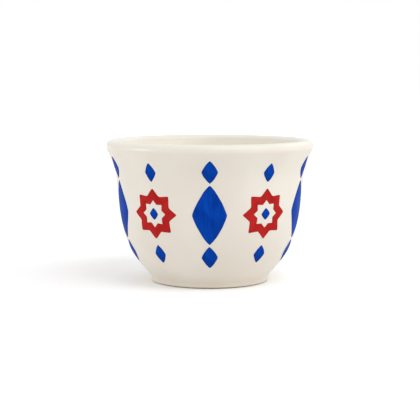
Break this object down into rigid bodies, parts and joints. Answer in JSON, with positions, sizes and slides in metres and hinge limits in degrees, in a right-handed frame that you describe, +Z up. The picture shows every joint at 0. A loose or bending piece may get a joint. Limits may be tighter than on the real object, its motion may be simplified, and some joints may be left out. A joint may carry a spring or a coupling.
{
  "type": "coffee cup",
  "caption": "Small handleless cup for Arabic coffee: flared lip, rounded belly and ringed foot in cream glazed clay, painted with red stars and blue lozenges.",
  "frame": {"origin": "on the table surface, at the centre of the foot", "axes": "+Z up along the cup's axis of turning; -Y towards the viewer of the picture, where one large blue lozenge is centred; +X to the viewer's right"},
  "size_m": [0.07, 0.07, 0.0478],
  "materials": {
    "bare_clay": "matt fired clay, left bare on the standing ring",
    "cream_glaze": "soft satin cream glaze with a smooth, slightly warm surface",
    "red_enamel": "brushed satin red enamel, slightly raised",
    "blue_enamel": "brushed satin cobalt enamel, slightly raised"
  },
  "bodies": {
    "root": {"clay_body": "bare_clay", "glaze_coat": "cream_glaze", "base_glaze": "cream_glaze", "red_star_1": "red_enamel", "red_star_2": "red_enamel", "red_star_3": "red_enamel", "red_star_4": "red_enamel", "red_star_5": "red_enamel", "star_eye_1": "blue_enamel", "star_eye_2": "blue_enamel", "star_eye_3": "blue_enamel", "star_eye_4": "blue_enamel", "star_eye_5": "blue_enamel", "star_upper_drop_1": "blue_enamel", "star_upper_drop_2": "blue_enamel", "star_upper_drop_3": "blue_enamel", "star_upper_drop_4": "blue_enamel", "star_upper_drop_5": "blue_enamel", "star_lower_drop_1": "blue_enamel", "star_lower_drop_2": "blue_enamel", "star_lower_drop_3": "blue_enamel", "star_lower_drop_4": "blue_enamel", "star_lower_drop_5": "blue_enamel", "blue_lozenge_1": "blue_enamel", "blue_lozenge_2": "blue_enamel", "blue_lozenge_3": "blue_enamel", "blue_lozenge_4": "blue_enamel", "blue_lozenge_5": "blue_enamel", "upper_tip_1": "blue_enamel", "upper_tip_2": "blue_enamel", "upper_tip_3": "blue_enamel", "upper_tip_4": "blue_enamel", "upper_tip_5": "blue_enamel", "lower_tip_1": "blue_enamel", "lower_tip_2": "blue_enamel", "lower_tip_3": "blue_enamel", "lower_tip_4": "blue_enamel", "lower_tip_5": "blue_enamel"}
  },
  "joints": []
}
